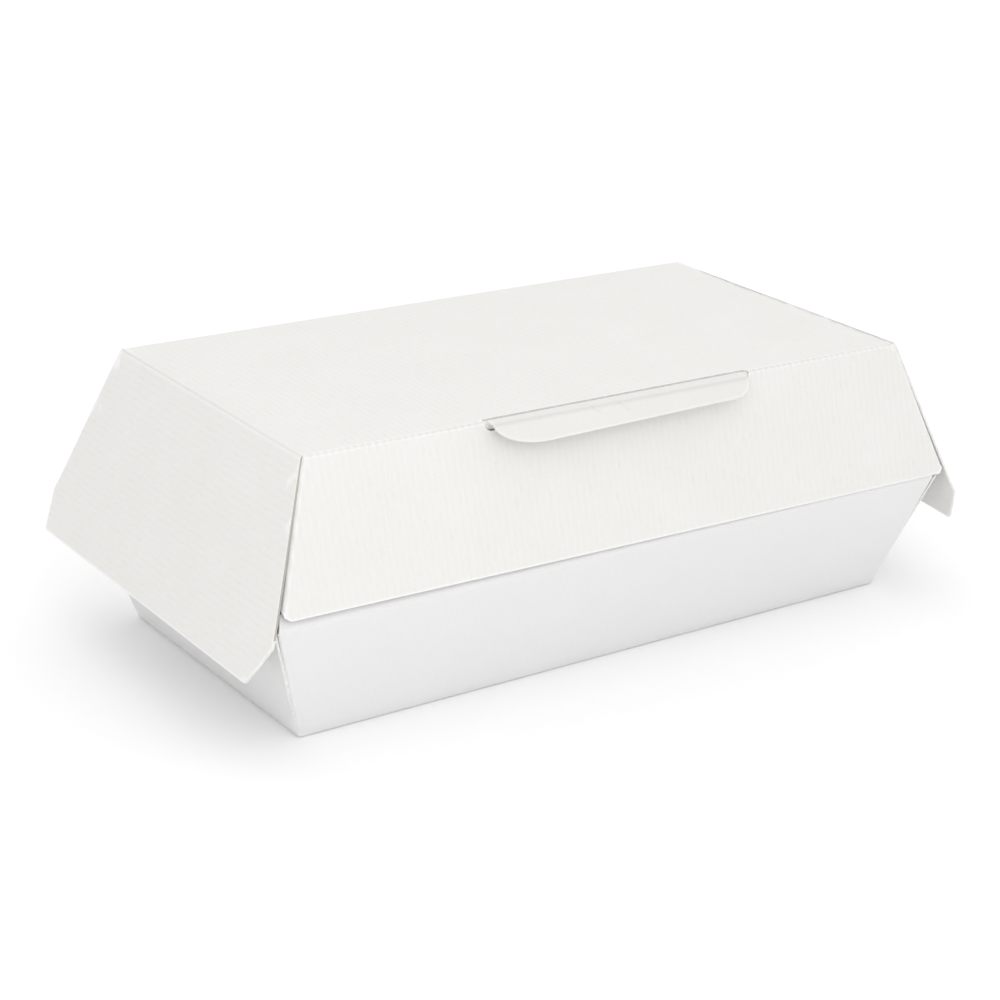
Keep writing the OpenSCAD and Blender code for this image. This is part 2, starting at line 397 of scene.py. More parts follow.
paper = {
    "dark": (0.709, 0.700, 0.676, 1),
    "light": (0.930, 0.926, 0.913, 1),
    "level": 0.343,  # where clean card lies between dark and light
    # how much each mark adds to the level, or takes from it
    "fluteLight": 0.0245,
    "fibreLight": 0.14,
    "strandLight": 0.238,
    "weaveLight": 0.168,
    "cloudLight": 0.154,
    # painted highlight on each fold's bead, together with crushed card there
    "creaseHighlightAndCrush": 0.38,
    "cutLight": 0.40,
    "dashDark": 0.91,
    # painted shade right on each crease line, where the fold's narrow gap is in shadow
    "creaseShadeDark": 0.63,
    "speckDark": 0.525,
    # how far each stands up, or is pressed in
    "fluteHeight": 0.008,
    "strandHeight": 0.020,
    "fibreHeight": 0.018,
    "creaseDepth": 0.06,
    # how large each is, across the flutes and along them where there are two
    "fibreSize": 0.42,
    "fibreDetail": 4.0,
    "strandSize": (0.5, 5.0),
    "weaveSize": (1.5, 0.5),
    "cloudSize": 26.0,
    "creaseReach": 1.1,
    "creaseShadeReach": 0.42,
    "cutReach": 0.9,
    "speckSpacing": 34.0,
    "speckRadius": 0.30,
    "rareSpeck": 0.45,  # share of the specks that is left out
    "dashFrom": 0.12,
    "dashOnRib": -0.6,  # dashes lie between the flutes
    "dotOnRib": 0.3,  # a crease's painted highlight and crushed card are lighter on the flutes
    "dotBetween": 0.7,
    "wobble": 0.25,  # of one flute, sideways
    "roughness": 0.70,
    "roughFibre": 0.25,
    "roughCrease": -0.12,
    "specular": 0.35,
    "lidFlutes": 1.0,
    "trayFlutes": 0.6,
    "trayClean": 0.5,  # the tray is part of the way to the clean colour
    "clean": (0.785, 0.792, 0.810, 1),
}


def feed(tree, value, socket):
    if isinstance(value, bpy.types.NodeSocket):
        tree.links.new(value, socket)
    else:
        socket.default_value = value


def addMath(tree, kind, *values, clamp=False):
    node = tree.nodes.new("ShaderNodeMath")
    node.operation = kind
    node.use_clamp = clamp
    for value, socket in zip(values, node.inputs):
        feed(tree, value, socket)
    return node.outputs[0]


def addVector(tree, kind, *values):
    node = tree.nodes.new("ShaderNodeVectorMath")
    node.operation = kind
    for value, socket in zip(values, node.inputs):
        feed(tree, value, socket)
    return node.outputs["Value" if kind in ("DOT_PRODUCT", "LENGTH") else "Vector"]


# Grain between -0.5 and 0.5, with one size or a size each way
def addGrain(tree, flat, size, detail=2.0):
    wide, long = size if isinstance(size, tuple) else (size, size)
    noise = tree.nodes.new("ShaderNodeTexNoise")
    noise.inputs["Scale"].default_value = 1
    noise.inputs["Detail"].default_value = detail
    place = addVector(tree, "MULTIPLY", flat, (1 / wide, 1 / long, 1))
    tree.links.new(place, noise.inputs["Vector"])
    return addMath(tree, "SUBTRACT", noise.outputs["Fac"], 0.5)


def addFade(tree, distance, reach):
    return addMath(tree, "SUBTRACT", 1.0, addMath(tree, "DIVIDE", distance, reach), clamp=True)


def addTint(tree, share, low, high):
    node = tree.nodes.new("ShaderNodeMix")
    node.data_type = "RGBA"
    feed(tree, share, node.inputs[0])
    feed(tree, low, node.inputs[6])
    feed(tree, high, node.inputs[7])
    return node.outputs[2]


def addSum(tree, *values):
    total = values[0]
    for value in values[1:]:
        total = addMath(tree, "ADD", total, value)
    return total


def scaled(tree, value, amount):
    return addMath(tree, "MULTIPLY", value, amount)


def newGroup(name, inputs, outputs):
    group = bpy.data.node_groups.new(name, "ShaderNodeTree")
    for way, sockets in (("INPUT", inputs), ("OUTPUT", outputs)):
        for title, kind in sockets:
            group.interface.new_socket(title, in_out=way, socket_type="NodeSocket" + kind)
    start = group.nodes.new("NodeGroupInput")
    end = group.nodes.new("NodeGroupOutput")
    return group, start.outputs, end.inputs


# The flutes as a wave between -1 and 1
def addRib(tree, flat):
    across = tree.nodes.new("ShaderNodeSeparateXYZ")
    tree.links.new(flat, across.inputs[0])
    drift = scaled(tree, addGrain(tree, flat, paper["cloudSize"]), paper["wobble"])
    turns = addSum(tree, addMath(tree, "DIVIDE", across.outputs[0], card["flutePitch"]), drift)
    return addMath(tree, "COSINE", scaled(tree, turns, 2 * math.pi))


def makeFaceGroup():
    tree, ins, outs = newGroup(
        "flutedFace",
        (("Flat", "Vector"), ("Crease", "Float"), ("Cut", "Float"), ("Flutes", "Float")),
        (("Color", "Color"), ("Roughness", "Float"), ("Height", "Float")))
    flat = ins["Flat"]
    rib = addRib(tree, flat)
    strand = addGrain(tree, flat, paper["strandSize"])
    weave = addGrain(tree, flat, paper["weaveSize"])
    dash = addMath(tree, "SUBTRACT", scaled(tree, strand, -1.0), paper["dashFrom"])
    dash = addMath(tree, "MULTIPLY", addMath(tree, "MAXIMUM", dash, 0.0), ins["Flutes"])
    onRib = addMath(tree, "MULTIPLY_ADD", rib, paper["dashOnRib"], 1.0)
    dash = addMath(tree, "MULTIPLY", dash, onRib)
    broken = addMath(tree, "ADD", weave, 1.0)
    ribbed = addMath(tree, "MULTIPLY", addMath(tree, "MULTIPLY", rib, broken), ins["Flutes"])
    fibre = addGrain(tree, flat, paper["fibreSize"], paper["fibreDetail"])
    cloud = addGrain(tree, flat, paper["cloudSize"])
    crease = addFade(tree, ins["Crease"], paper["creaseReach"])
    cut = addFade(tree, ins["Cut"], paper["cutReach"])
    # painted shade along the middle of each crease
    creaseShade = addFade(tree, ins["Crease"], paper["creaseShadeReach"])
    # painted highlight and crushed card along each crease, in dots that are lighter on the flutes
    onCrease = addMath(tree, "MULTIPLY_ADD", rib, paper["dotOnRib"], paper["dotBetween"])
    dots = addMath(tree, "MULTIPLY", crease, onCrease)
    cells = tree.nodes.new("ShaderNodeTexVoronoi")
    cells.voronoi_dimensions = "2D"
    cells.inputs["Scale"].default_value = 1
    shrink = (1 / paper["speckSpacing"],) * 3
    tree.links.new(addVector(tree, "MULTIPLY", flat, shrink), cells.inputs["Vector"])
    luck = tree.nodes.new("ShaderNodeSeparateColor")
    tree.links.new(cells.outputs["Color"], luck.inputs[0])
    rare = addMath(tree, "GREATER_THAN", luck.outputs[0], paper["rareSpeck"])
    spot = addFade(tree, cells.outputs["Distance"], paper["speckRadius"] / paper["speckSpacing"])
    speck = addMath(tree, "MULTIPLY", addMath(tree, "MULTIPLY", spot, rare), luck.outputs[1])
    light = addSum(
        tree,
        scaled(tree, ribbed, paper["fluteLight"]),
        scaled(tree, fibre, paper["fibreLight"]),
        scaled(tree, strand, paper["strandLight"]),
        scaled(tree, dash, -paper["dashDark"]),
        scaled(tree, weave, paper["weaveLight"]),
        scaled(tree, cloud, paper["cloudLight"]),
        scaled(tree, dots, paper["creaseHighlightAndCrush"]),
        scaled(tree, creaseShade, -paper["creaseShadeDark"]),
        scaled(tree, cut, paper["cutLight"]),
        scaled(tree, speck, -paper["speckDark"]))
    share = addMath(tree, "ADD", light, paper["level"], clamp=True)
    tree.links.new(addTint(tree, share, paper["dark"], paper["light"]), outs["Color"])
    rough = addSum(tree, scaled(tree, fibre, paper["roughFibre"]),
                   scaled(tree, crease, paper["roughCrease"]))
    tree.links.new(addMath(tree, "ADD", rough, paper["roughness"]), outs["Roughness"])
    height = addSum(
        tree,
        scaled(tree, ribbed, paper["fluteHeight"]),
        scaled(tree, strand, paper["strandHeight"]),
        scaled(tree, fibre, paper["fibreHeight"]),
        scaled(tree, dots, -paper["creaseDepth"]))
    tree.links.new(height, outs["Height"])
    return tree


# The cut edge shows two liners and the wave between them, partly crushed by the blade, and the open
# flutes between them are painted shade

cutFace = {
    # shares of the thickness
    "wave": 0.30,
    "waveThick": 0.10,
    "linerInner": 0.33,
    "soft": 0.06,
    # the blade's work
    "crushed": 0.62,  # how much of the wave is closed
    "crushSize": 3.0,
    "height": 0.12,
    "roughness": 0.8,
    # painted shade in the open flutes between the liners
    "gap": (0.50, 0.47, 0.41, 1),
    "paper": (0.93, 0.925, 0.91, 1),
    "paintedShade": (0.36, 0.34, 0.28, 1),  # painted shade: an edge in shadow is this far on the way to this colour
    "paintedShadeShare": 0.75,
}


def makeEdgeGroup():
    tree, ins, outs = newGroup(
        "waveEdge",
        (("Flat", "Vector"), ("Depth", "Float")),
        (("Color", "Color"), ("Height", "Float")))
    wave = scaled(tree, addRib(tree, ins["Flat"]), cutFace["wave"])
    depth = addMath(tree, "SUBTRACT", ins["Depth"], 0.5)
    offWave = addMath(tree, "ABSOLUTE", addMath(tree, "SUBTRACT", depth, wave))
    gap = addMath(tree, "SUBTRACT", offWave, cutFace["waveThick"])
    medium = addFade(tree, gap, cutFace["soft"])
    inLiner = addMath(tree, "SUBTRACT", addMath(tree, "ABSOLUTE", depth), cutFace["linerInner"])
    liner = addMath(tree, "DIVIDE", inLiner, cutFace["soft"], clamp=True)
    grain = addGrain(tree, ins["Flat"], cutFace["crushSize"])
    crush = addMath(tree, "ADD", grain, cutFace["crushed"])
    solid = addMath(tree, "MAXIMUM", addMath(tree, "MAXIMUM", medium, liner), crush)
    tree.links.new(addTint(tree, solid, cutFace["gap"], cutFace["paper"]), outs["Color"])
    tree.links.new(scaled(tree, solid, cutFace["height"]), outs["Height"])
    return tree


# A pressed wrinkle from one point of the flat sheet to another
def makeWrinkleGroup():
    tree, ins, outs = newGroup(
        "wrinkle",
        (("Flat", "Vector"), ("Start", "Vector"), ("End", "Vector"), ("Width", "Float")),
        (("Dent", "Float"),))
    run = addVector(tree, "SUBTRACT", ins["End"], ins["Start"])
    away = addVector(tree, "SUBTRACT", ins["Flat"], ins["Start"])
    share = addMath(tree, "DIVIDE", addVector(tree, "DOT_PRODUCT", away, run),
                    addVector(tree, "DOT_PRODUCT", run, run), clamp=True)
    spread = tree.nodes.new("ShaderNodeCombineXYZ")
    for i in range(3):
        tree.links.new(share, spread.inputs[i])
    nearest = addVector(tree, "MULTIPLY", run, spread.outputs[0])
    off = addVector(tree, "LENGTH", addVector(tree, "SUBTRACT", away, nearest))
    fade = addFade(tree, off, ins["Width"])
    tree.links.new(addMath(tree, "MULTIPLY", fade, fade), outs["Dent"])
    return tree


def addGroup(tree, group, **values):
    node = tree.nodes.new("ShaderNodeGroup")
    node.node_tree = group
    for title, value in values.items():
        feed(tree, value, node.inputs[title])
    return node.outputs


def startMaterial(name):
    finish = bpy.data.materials.new(name)
    finish.use_nodes = True
    tree = finish.node_tree
    uv = tree.nodes.new("ShaderNodeUVMap")
    uv.uv_map = "UVMap"
    flat = addVector(tree, "MULTIPLY", uv.outputs[0], (1 / mm, 1 / mm, 1 / mm))
    return finish, tree, tree.nodes["Principled BSDF"].inputs, flat


def stored(tree, name):
    node = tree.nodes.new("ShaderNodeAttribute")
    node.attribute_name = name
    return node.outputs["Fac"]


def addBump(tree, height, shader):
    bump = tree.nodes.new("ShaderNodeBump")
    bump.inputs["Distance"].default_value = mm
    tree.links.new(height, bump.inputs["Height"])
    tree.links.new(bump.outputs["Normal"], shader["Normal"])


wrinkles = {
    # from and to, each across the tongue and back from its outer crease
    "places": (((-15.3, 2.6), (-11.2, -2.0)), ((-4.4, 1.4), (-0.9, -3.2))),
    "width": 0.8,
    # how far each dent and the tongue's crease groove are darkened with painted shade
    "depth": 0.12,
    "dark": 0.10,
    "creaseWidth": 1.5,
    "creaseDepth": 0.22,
    "creaseDark": 0.22,
    "shade": (0.45, 0.44, 0.41, 1),
    "tone": 0.35,  # the tongue is a little darker than the walls
    "flattened": 0.25,  # share of the flutes left on the tongue
    "reach": 12.0,  # the tongue's finish starts this far behind its outer crease
}


def finishFace(tree, shader, face, colour, height):
    tree.links.new(colour, shader["Base Color"])
    tree.links.new(face["Roughness"], shader["Roughness"])
    shader["Specular IOR Level"].default_value = paper["specular"]
    addBump(tree, height, shader)


def addFace(tree, flat, flutes):
    return addGroup(tree, faceGroup, Flat=flat, Crease=stored(tree, "creaseDistance"),
                    Cut=stored(tree, "cutDistance"), Flutes=flutes)


# The crease is the tongue's outer one, as x, y, x and y on the flat sheet
def makeTrayFace(crease):
    finish, tree, shader, flat = startMaterial("trayCard")
    slope = (crease[3] - crease[1]) / (crease[2] - crease[0])
    sides = tree.nodes.new("ShaderNodeSeparateXYZ")
    tree.links.new(flat, sides.inputs[0])
    offTongue = addMath(tree, "GREATER_THAN", sides.outputs[1], crease[1] + wrinkles["reach"])
    flutes = addMath(tree, "MULTIPLY_ADD", offTongue, paper["trayFlutes"] - wrinkles["flattened"],
                     wrinkles["flattened"])
    face = addFace(tree, flat, flutes)
    marks = [((*crease[:2], 0), (*crease[2:], 0), "creaseWidth", "creaseDepth", "creaseDark")]
    for ends in wrinkles["places"]:
        start, end = ((x, crease[1] + (x - crease[0]) * slope + back, 0) for x, back in ends)
        marks.append((start, end, "width", "depth", "dark"))
    clean = scaled(tree, offTongue, paper["trayClean"])
    colour = addTint(tree, clean, face["Color"], paper["clean"])
    onTongue = addMath(tree, "SUBTRACT", 1.0, offTongue)
    colour = addTint(tree, scaled(tree, onTongue, wrinkles["tone"]), colour, paper["dark"])
    height = face["Height"]
    # each mark is pressed in, and painted shade darkens it toward the shade colour
    for start, end, width, depth, dark in marks:
        mark = addGroup(tree, wrinkleGroup, Flat=flat, Start=start, End=end, Width=wrinkles[width])
        dent = mark["Dent"]
        height = addMath(tree, "ADD", height, scaled(tree, dent, -wrinkles[depth]))
        colour = addTint(tree, scaled(tree, dent, wrinkles[dark]), colour, wrinkles["shade"])
    finishFace(tree, shader, face, colour, height)
    return finish


def makeLidFace():
    finish, tree, shader, flat = startMaterial("lidCard")
    face = addFace(tree, flat, paper["lidFlutes"])
    finishFace(tree, shader, face, face["Color"], face["Height"])
    return finish


def makeEdgeFinish(name, paintedShade=0.0):
    finish, tree, shader, flat = startMaterial(name)
    rim = addGroup(tree, edgeGroup, Flat=flat, Depth=stored(tree, "cardDepth"))
    # painted shade: the edge colour is taken part of the way to a dark olive
    tree.links.new(addTint(tree, paintedShade, rim["Color"], cutFace["paintedShade"]), shader["Base Color"])
    shader["Roughness"].default_value = cutFace["roughness"]
    shader["Specular IOR Level"].default_value = paper["specular"]
    addBump(tree, rim["Height"], shader)
    return finish


faceGroup = makeFaceGroup()
edgeGroup = makeEdgeGroup()
wrinkleGroup = makeWrinkleGroup()
cutEdge = makeEdgeFinish("cutEdge")
shadedCutEdge = makeEdgeFinish("shadedCutEdge", cutFace["paintedShadeShare"])
print("card finishes made")


# Tray: foot, four walls, four glue tabs, lock flap and tongue

def trayCorner(sx, sy, share):
    foot = point(sx * box["foot"][0], sy * box["foot"][1], footZ)
    lean = box["rimLean"] if sy < 0 else 0
    rim = point(sx * box["rim"][0] + lean, sy * box["rim"][1], box["rim"][2])
    if sy < 0:
        share *= 1 + box["rimRise"][sx > 0] / (box["rim"][2] - footZ)
    return blendPoints(foot, rim, share)


# A glue tab, narrowed at both ends, on the edge from rootA to rootB
def glueTab(sheet, rootA, rootB, inward):
    taper = (rootB - rootA).normalized() * box["tabTaper"] * mm
    reach = inward * box["tabWidth"] * mm
    foldOut(sheet, rootA, rootB, rootA + taper + reach, rootB - taper + reach)


# Half the flap's length at a height, inside the lid's front wall
def flapHalf(z):
    share = (topZ - z) / (topZ - box["front"][2])
    wide = box["top"][0] + (box["front"][0] - box["top"][0]) * share
    return wide - card["thickness"] - box["flapSideGap"]


def flapPoint(x, z):
    return point(x, -box["rim"][1] + (z - box["rim"][2]) * flapSlope, z)


def makeTray():
    corners = [trayCorner(sx, sy, 0) for sx, sy in cornerSides]
    sheet = startSheet("traySheet", corners)
    height = (trayCorner(1, 1, 1) - trayCorner(1, 1, 0)).length / mm
    for sy in (-1, 1):
        top = 1 - backShort / height if sy > 0 else 1
        shares = [0, top - box["tabRelief"] / height, top]
        for low, high in zip(shares, shares[1:]):
            foldOut(sheet, trayCorner(-1, sy, low), trayCorner(1, sy, low),
                    trayCorner(-1, sy, high), trayCorner(1, sy, high))
        for sx in (-1, 1):
            glueTab(sheet, trayCorner(sx, sy, 0), trayCorner(sx, sy, shares[1]), Vector((0, -sy, 0)))
    for sx in (-1, 1):
        out = point(sx * box["endWallOut"], 0, 0)
        lip = point(0, box["endWallLip"], 0)
        foldOut(sheet, trayCorner(sx, -1, 0), trayCorner(sx, 1, 0),
                trayCorner(sx, -1, 1) + out - lip, trayCorner(sx, 1, 1) + out + lip)
    neckLeft, neckRight, neckZ = box["neck"]
    rows = [[trayCorner(-1, -1, 1), trayCorner(1, -1, 1)],
            [flapPoint(neckLeft, neckZ), flapPoint(neckRight, neckZ)]]
    for z in (box["shoulderZ"], flapTopZ):
        rows.append([flapPoint(sx * flapHalf(z), z) for sx in (-1, 1)])
    for below, above in zip(rows, rows[1:]):
        foldOut(sheet, *below, *above)
    for place in rows[-1]:
        roundCorner(sheet, place, box["flapCorner"], box["flapCornerSteps"])
    return sheet


def isRim(edge):
    rimEnds = [trayCorner(sx, -1, 1) for sx in (-1, 1)]
    return all(any((vert.co - end).length < touch for end in rimEnds) for vert in edge.verts)


def isHighUp(face):
    return face.calc_center_median().z > flapTopZ / 2 * mm


# An ear on each side of the tongue fills the end of the slot

ear = {
    "from": (44.9, 45.7),  # left ear, right ear
    "to": 48.9,
    "path": ((-61.55, 86.4), (-61.85, 86.9), (-61.85, 87.4), (-61.75, 87.9),
             (-61.6, 88.15), (-61.4, 88.3), (-61.1, 88.33), (-60.5, 88.33)),  # y and z
}


def makeEars(sheet):
    for sx, near in zip((-1, 1), ear["from"]):
        for x in (near, ear["to"]):
            cutAcross(sheet, point(sx * x, 0, 0), (1, 0, 0), isHighUp)
        rows = [[flapPoint(sx * x, flapTopZ) for x in (near, ear["to"])]]
        for y, z in ear["path"]:
            rows.append([point(sx * x, y, z) for x in (near, ear["to"])])
        for below, above in zip(rows, rows[1:]):
            foldOut(sheet, *below, *above)


# Pairs are for the tongue's left and right end

tongue = {
    "root": (44.6, 45.4),  # half length at the flap's edge
    "half": (47.4, 45.4),
    "sink": 0.15,  # the crest lies this far under the top of the box
    "bendRadius": 1.0,
    "bendSteps": 5,
    "out": (3.3, 4.4),  # from the first bend to the second
    "drop": (7.5, 5.6),  # from the second bend to the tip
    "lean": 38.0,
    "corner": ((17.0, 7.4), (6.5, 6.5)),  # how far along the tip, how far up the side
    "tipRows": (0.2, 0.4, 0.56, 0.7, 0.81, 0.9, 0.96, 0.99, 1.0),  # shares of the drop
}


# The middle line of one end of the tongue from root to tip, as y and z, and the y of its first bend
def tonguePath(out, drop):
    r = tongue["bendRadius"]
    hang = math.radians(tongue["lean"])
    levelZ = box["height"] - tongue["sink"] - innerHalf
    rise = (levelZ - flapTopZ - r * (1 + math.sin(flapLean))) / math.cos(flapLean)
    bendY = flapTopY + rise * math.sin(flapLean) - r * math.cos(flapLean)
    path = [(flapTopY, flapTopZ)]
    bends = ((bendY, -flapLean, math.pi / 2), (bendY - out, math.pi / 2, math.pi - hang))
    for y, start, end in bends:
        for i in range(tongue["bendSteps"] + 1):
            turn = start + (end - start) * i / tongue["bendSteps"]
            path.append((y + r * math.cos(turn), levelZ - r + r * math.sin(turn)))
    hangY, hangZ = path[-1]
    for share in tongue["tipRows"]:
        path.append((hangY - math.sin(hang) * drop * share, hangZ - math.cos(hang) * drop * share))
    return path, bendY


# How far a rounded corner takes the side in, at a distance from the tip
def cornerInset(along, up, fromTip):
    return along * (1 - math.sqrt(1 - max(1 - fromTip / up, 0) ** 2))


# Gives the flat places of the crest and of the outer crease, and the y of the first bend
def makeTongue(sheet):
    ends = []
    sizes = zip(*(tongue[name] for name in ("root", "half", "out", "drop", "corner")))
    for sx, (root, wide, out, drop, corner) in zip((-1, 1), sizes):
        cutAcross(sheet, point(sx * root, 0, 0), (1, 0, 0), isHighUp)
        path, bendY = tonguePath(out, drop)
        steps = [math.dist(a, b) for a, b in zip(path, path[1:])]
        insets = [cornerInset(*corner, sum(steps[i:])) for i in range(len(path))]
        insets[0] = wide - root
        ends.append([point(sx * (wide - inset), *place) for place, inset in zip(path, insets)])
    rows = list(zip(*ends))
    for above, below in zip(rows, rows[1:]):
        foldOut(sheet, *above, *below)
    mesh = bmesh.from_edit_mesh(sheet.data)
    lines = []
    for row in (rows[tongue["bendSteps"] + 1], rows[2 * tongue["bendSteps"] + 1]):
        lines.append(np.concatenate([flatPlace(mesh, place) for place in row]) / mm)
    return lines, bendY


def isTrayCrease(edge):
    return isCrease(edge) and not isRim(edge)


traySheet = makeTray()
trayCreases = flatLines(traySheet, isTrayCrease)
softenCreases(isTrayCrease, traySheet, card["creaseWidth"], card["creaseSteps"])
softenCreases(isRim, traySheet, card["rimWidth"], card["rimSteps"])
makeEars(traySheet)
(tongueCrest, tongueCrease), tongueBendY = makeTongue(traySheet)
# the tongue's crest also gets the creases' painted highlight and painted shade
trayCreases = np.vstack([trayCreases, tongueCrest])
trayCuts = flatLines(traySheet, isCut)
gridCuts(traySheet, card["cell"])
bpy.ops.object.mode_set(mode="OBJECT")
skewSheet(traySheet, {0: ("footX", "footY"), 2: ("topX", "topY")})
trayFace = makeTrayFace(tongueCrease)
giveThickness(traySheet, trayFace, trayCreases, trayCuts, card["pressed"])
print("tray made")


# Lid: top panel with the slot, walls, glue tabs and two end panels

lid = {
    # y and z of each end panel's corners: front widest, front lowest, back widest, back lowest
    "endCorners": {
        -1: ((-74.8, 38.9), (-66.0, 26.1), (84.5, 39.1), (82.6, 25.9)),
        1: ((-74.6, 36.9), (-68.7, 25.2), (84.5, 38.5), (82.3, 25.8)),
    },
    "endSpread": 19.0 / 50.9,  # how fast an end panel moves out on its way down
    "looseCorner": 0.8,
    "looseSteps": 4,
    "slotHalf": 49.0,
    "slotDeep": 2.8,  # down the front wall
    "slotGap": 0.3,  # behind the tongue
    "slotCorner": 2.7,  # on the front wall
    "slotCornerSteps": 5,
    "slotEndCorner": 1.2,  # on the top panel
    "slotEndSteps": 4,
    "foldInset": (0.35, 0.75),  # the walls' folds sit inside the end panels, at the top and below
    "tabIn": 0.04,  # a glue tab comes in by this share of its width
    "curlRise": 2.2,  # the right end panel's low edge rises behind its front corner
    "curlFrom": -68.0,
    "curlLong": 20.0,
    "curlOff": 1.0,  # only what lies this far past the top panel's end moves
    # how squarely a face has to face up, or to the front, to belong to the panel
    "topTilt": 0.9,
    "frontTilt": 0.8,
    "cutTilt": 0.85,
}


def topCorner(sx, sy):
    return point(sx * box["top"][0], sy * box["top"][1], topZ)


def lidLowCorner(sx, sy):
    if sy < 0:
        wide, deep, low = box["front"]
        return point(sx * wide, -deep, low + sx * box["frontLift"])
    return point(sx * box["backHalf"], box["rim"][1], box["rim"][2])


def endPoint(sx, y, z):
    return point(sx * (box["top"][0] + (topZ - z) * lid["endSpread"]), y, z)


# A place on the fold at the end of a wall, by its share of the way down
def foldPlace(sx, sy, share, inset=0.0):
    top, low = lid["foldInset"]
    place = blendPoints(topCorner(sx, sy), lidLowCorner(sx, sy), share)
    return place - point(sx * (top + (low - top) * share + inset), 0, 0)


def makeLid():
    corners = [topCorner(sx, sy) for sx, sy in cornerSides]
    sheet = startSheet("lidSheet", corners)
    for sx in (-1, 1):
        cutAcross(sheet, topCorner(sx, 1) - point(sx * lid["foldInset"][0], 0, 0), (1, 0, 0))
    for sy in (-1, 1):
        length = (lidLowCorner(1, sy) - topCorner(1, sy)).length / mm
        low = 1 - box["cornerCut"] / length
        shares = [0, low - box["tabRelief"] / length, low]
        if sy > 0:
            shares.append(1 - backShort / length)
        rows = [[foldPlace(sx, sy, share) for sx in (-1, 1)] for share in shares]
        if sy < 0:  # the front wall's lower corners are cut off
            rows.append([foldPlace(sx, sy, 1, inset)
                         for sx, inset in zip((-1, 1), box["cornerInset"])])
        for above, below in zip(rows, rows[1:]):
            foldOut(sheet, *above, *below)
        for side, sx in enumerate((-1, 1)):
            glueTab(sheet, rows[0][side], rows[1][side], Vector((-sx * lid["tabIn"], -sy, 0)))
    for sx in (-1, 1):
        places = [endPoint(sx, *place) for place in lid["endCorners"][sx]]
        widest, lowest = places[::2], places[1::2]
        foldOut(sheet, topCorner(sx, -1), topCorner(sx, 1), *widest)
        foldOut(sheet, *widest, *lowest)
        for place in widest + lowest:
            roundCorner(sheet, place, lid["looseCorner"], lid["looseSteps"])
    return sheet


def isTop(face):
    low = (topZ - half) * mm
    return face.normal.z > lid["topTilt"] and face.calc_center_median().z > low


def isFront(face):
    low = box["front"][2] * mm
    return face.normal.y < -lid["frontTilt"] and face.calc_center_median().z > low


# The slot goes over the front crease, from slotBackY on the top panel to a lip on the front wall
def cutSlot(sheet, slotBackY):
    wallDown = Vector((0, -frontSlope, -1)).normalized()
    lip = point(0, -box["top"][1], topZ) + wallDown * lid["slotDeep"] * mm
    slotHalf = lid["slotHalf"]

    def inSlot(face):
        middle = face.calc_center_median()
        if abs(middle.x) > slotHalf * mm:
            return False
        if isTop(face):
            return middle.y < slotBackY * mm
        return isFront(face) and (middle - lip).dot(wallDown) < 0

    for x in (-slotHalf, slotHalf):
        cutAcross(sheet, point(x, 0, 0), (1, 0, 0), lambda face: isTop(face) or isFront(face))
    cutAcross(sheet, point(0, slotBackY, 0), (0, 1, 0), isTop)
    cutAcross(sheet, lip, wallDown, isFront)
    pickFaces(sheet, inSlot)
    bpy.ops.mesh.delete(type="FACE")
    for x in (-slotHalf, slotHalf):
        lipEnd = Vector((x * mm, lip.y, lip.z))
        roundCorner(sheet, lipEnd, lid["slotCorner"], lid["slotCornerSteps"])
        roundCorner(sheet, point(x, slotBackY, topZ), lid["slotEndCorner"], lid["slotEndSteps"])


# Lifts the low edge of the right end panel
def curlEnd(sheet):
    wideZ, lowZ = (lid["endCorners"][1][i][1] for i in (0, 1))
    for vert in sheet.data.vertices:
        x, y, z = vert.co / mm
        if x > box["top"][0] + lid["curlOff"] and z < wideZ:
            along = min(max((y - lid["curlFrom"]) / lid["curlLong"], 0), 1)
            down = (wideZ - z) / (wideZ - lowZ)
            vert.co.z += lid["curlRise"] * mm * along * down


def isShadedCut(face):
    x, y, z = face.calc_center_median() / mm
    onPanel = x < -box["top"][0] and y < 0 and z > box["rim"][2]
    onCut = face.material_index == 1 and face.normal.y < -lid["cutTilt"]
    return onPanel and onCut


# The left end panel's front cut edge is painted with shade, the dark olive of the shadow it lies in
def paintShadeOnEdges(sheet):
    sheet.data.materials.append(shadedCutEdge)
    activate(sheet)
    bpy.ops.object.mode_set(mode="EDIT")
    pickFaces(sheet, isShadedCut)
    sheet.active_material_index = 2
    bpy.ops.object.material_slot_assign()
    bpy.ops.object.mode_set(mode="OBJECT")


lidSheet = makeLid()
lidCreases = flatLines(lidSheet, isCrease)
cutSlot(lidSheet, tongueBendY + tongue["bendRadius"] + innerHalf + lid["slotGap"])
softenCreases(isCrease, lidSheet, card["creaseWidth"], card["creaseSteps"])
lidCuts = flatLines(lidSheet, isCut)
gridCuts(lidSheet, card["cell"])
bpy.ops.object.mode_set(mode="OBJECT")
curlEnd(lidSheet)
skewSheet(lidSheet, {2: ("topX", "topY")})
giveThickness(lidSheet, makeLidFace(), lidCreases, lidCuts, card["pressed"])
paintShadeOnEdges(lidSheet)
print("lid made")


# Hinge: the crushed strip of the sheet that crosses from the tray to the lid

hinge = {
    "thickness": 0.5,
    "outer": 0.42,  # from the middle of the card to the strip's outer face
    "half": 121.2,
    "overlap": 0.3,  # onto the tray and onto the lid
    "steps": 6,
}


